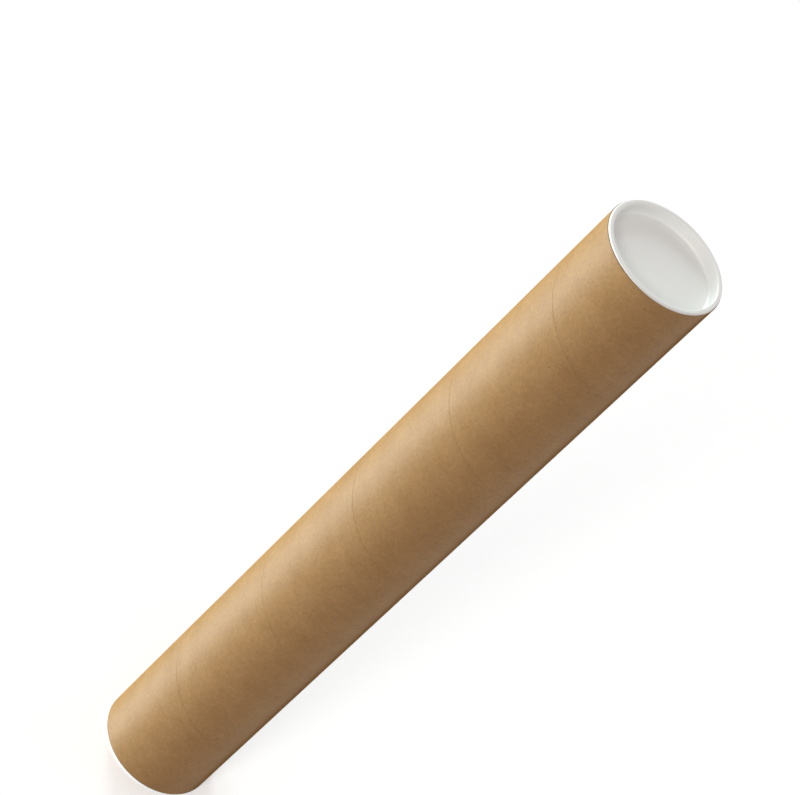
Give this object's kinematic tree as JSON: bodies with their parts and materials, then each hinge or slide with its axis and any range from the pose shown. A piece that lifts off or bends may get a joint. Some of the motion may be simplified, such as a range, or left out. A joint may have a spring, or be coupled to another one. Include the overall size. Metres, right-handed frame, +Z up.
{
  "type": "cardboard mailing tube",
  "caption": "Long round brown cardboard tube closed at each end by a recessed white plastic push-in plug, for mailing rolled paper.",
  "frame": {"origin": "centre of the face the tube stands on, at the outer face of the bottom plug's flange", "axes": "+Z up along the tube's axis, from the bottom plug to the top plug; X and Y are any two directions across it"},
  "size_m": [0.0799, 0.08, 0.563],
  "materials": {
    "brown_board": "smooth unbleached brown paper, wound in a spiral, with a faint sheen",
    "white_plastic": "moulded white polyethylene, satin"
  },
  "bodies": {
    "lower_plug": {"bottom_plug": "white_plastic"},
    "tube": {"cardboard_tube": "brown_board"},
    "upper_plug": {"top_plug": "white_plastic"}
  },
  "joints": [
    {"name": "bottom_plug_pull", "type": "slide", "parent": "lower_plug", "child": "tube", "axis": [0, 0, 1], "range_m": [0, 0.04]},
    {"name": "top_plug_pull", "type": "slide", "parent": "tube", "child": "upper_plug", "axis": [0, 0, 1], "range_m": [0, 0.04]}
  ]
}
